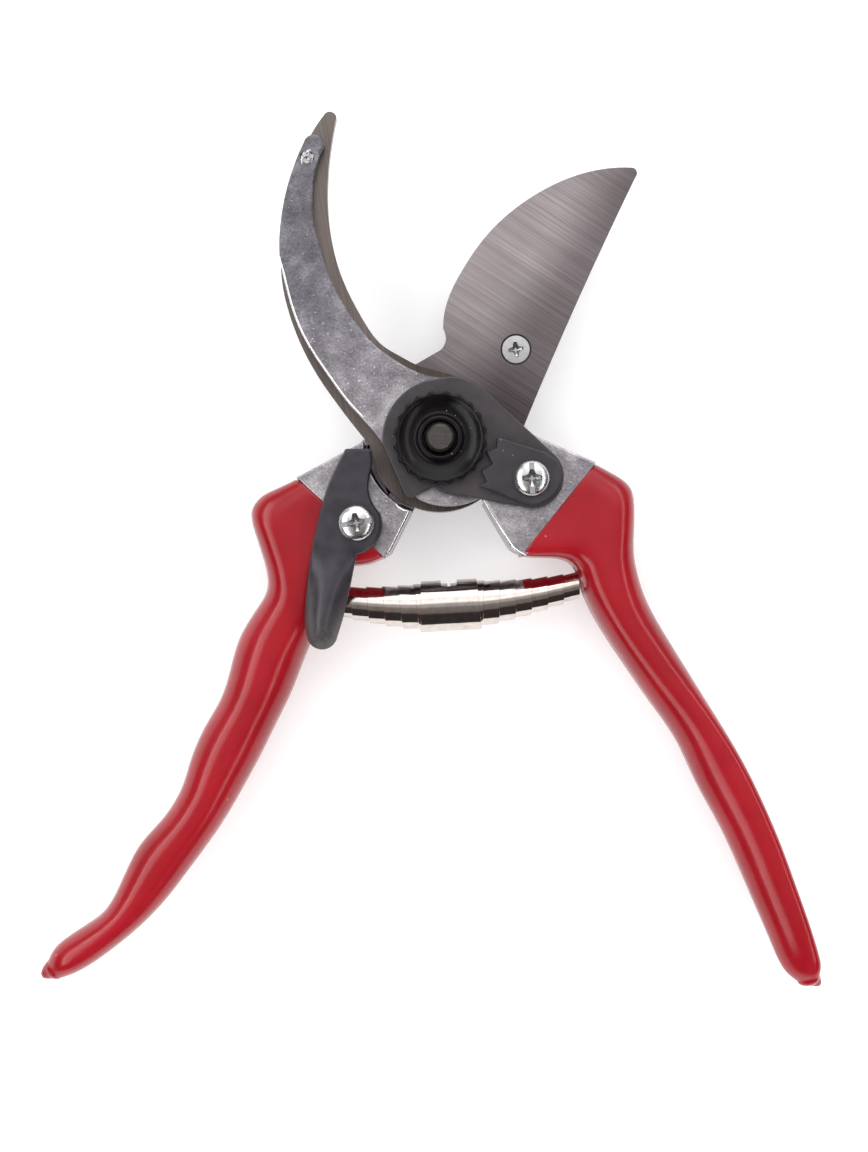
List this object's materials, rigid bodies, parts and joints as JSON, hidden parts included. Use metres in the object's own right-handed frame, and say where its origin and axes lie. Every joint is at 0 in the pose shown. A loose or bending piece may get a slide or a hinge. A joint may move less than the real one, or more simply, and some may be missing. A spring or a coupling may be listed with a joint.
{
  "type": "bypass pruning shears",
  "caption": "Bypass pruning shears with red dipped grips, curved cutting blade, hooked counter-blade, toothed pivot nut, thumb lock and volute spring, shown sprung open.",
  "frame": {"origin": "on the pivot axis, at the underside of the pivot bolt's head", "axes": "+Z along the pivot bolt towards the nut, +Y towards the blade's point, +X to the side of the hook handle's grip"},
  "size_m": [0.1663, 0.1876, 0.0297],
  "materials": {
    "hook_handle_forging": "forged, satin",
    "blade_handle_forging": "forged, satin",
    "hook_handle_coating": "glossy dipped PVC",
    "blade_handle_coating": "glossy dipped PVC",
    "cutting_blade": "ground",
    "counter_blade": "ground",
    "counter_blade_tip_rivet": "staked",
    "counter_blade_left_rivet": "staked",
    "counter_blade_right_rivet": "staked",
    "pivot_bolt": "blackened",
    "pivot_washer": "zinc",
    "lock_plate": "satin black",
    "toothed_nut": "satin black",
    "toothed_segment": "satin black",
    "segment_screw": "bright",
    "blade_screw": "bright",
    "lock_lever": "satin, worn at the thumb end",
    "lever_spring_washer": "bright",
    "lock_lever_screw": "bright",
    "volute_spring": "plated"
  },
  "bodies": {
    "blade_handle": {"blade_handle_forging": "blade_handle_forging", "blade_handle_coating": "blade_handle_coating", "cutting_blade": "cutting_blade", "blade_screw": "blade_screw", "lever_spring_washer": "lever_spring_washer", "lock_lever_screw": "lock_lever_screw", "volute_spring": "volute_spring"},
    "hook_handle": {"hook_handle_forging": "hook_handle_forging", "hook_handle_coating": "hook_handle_coating", "counter_blade": "counter_blade", "counter_blade_tip_rivet": "counter_blade_tip_rivet", "counter_blade_left_rivet": "counter_blade_left_rivet", "counter_blade_right_rivet": "counter_blade_right_rivet", "pivot_bolt": "pivot_bolt", "pivot_washer": "pivot_washer", "lock_plate": "lock_plate", "toothed_nut": "toothed_nut", "toothed_segment": "toothed_segment", "segment_screw": "segment_screw"},
    "lock_lever": {"lock_lever": "lock_lever"}
  },
  "joints": [
    {"name": "handles", "type": "hinge", "parent": "blade_handle", "child": "hook_handle", "pos_m": [0, 0, 0], "axis": [0, 0, 1], "range_deg": [-55, 0], "stiffness_Nm_per_rad": 2, "springref_deg": 5.73, "deforming": ["volute_spring"]},
    {"name": "lock", "type": "hinge", "parent": "blade_handle", "child": "lock_lever", "pos_m": [-0.0174, -0.0177, 0], "axis": [0, 0, 1], "range_deg": [-8, 0]}
  ]
}
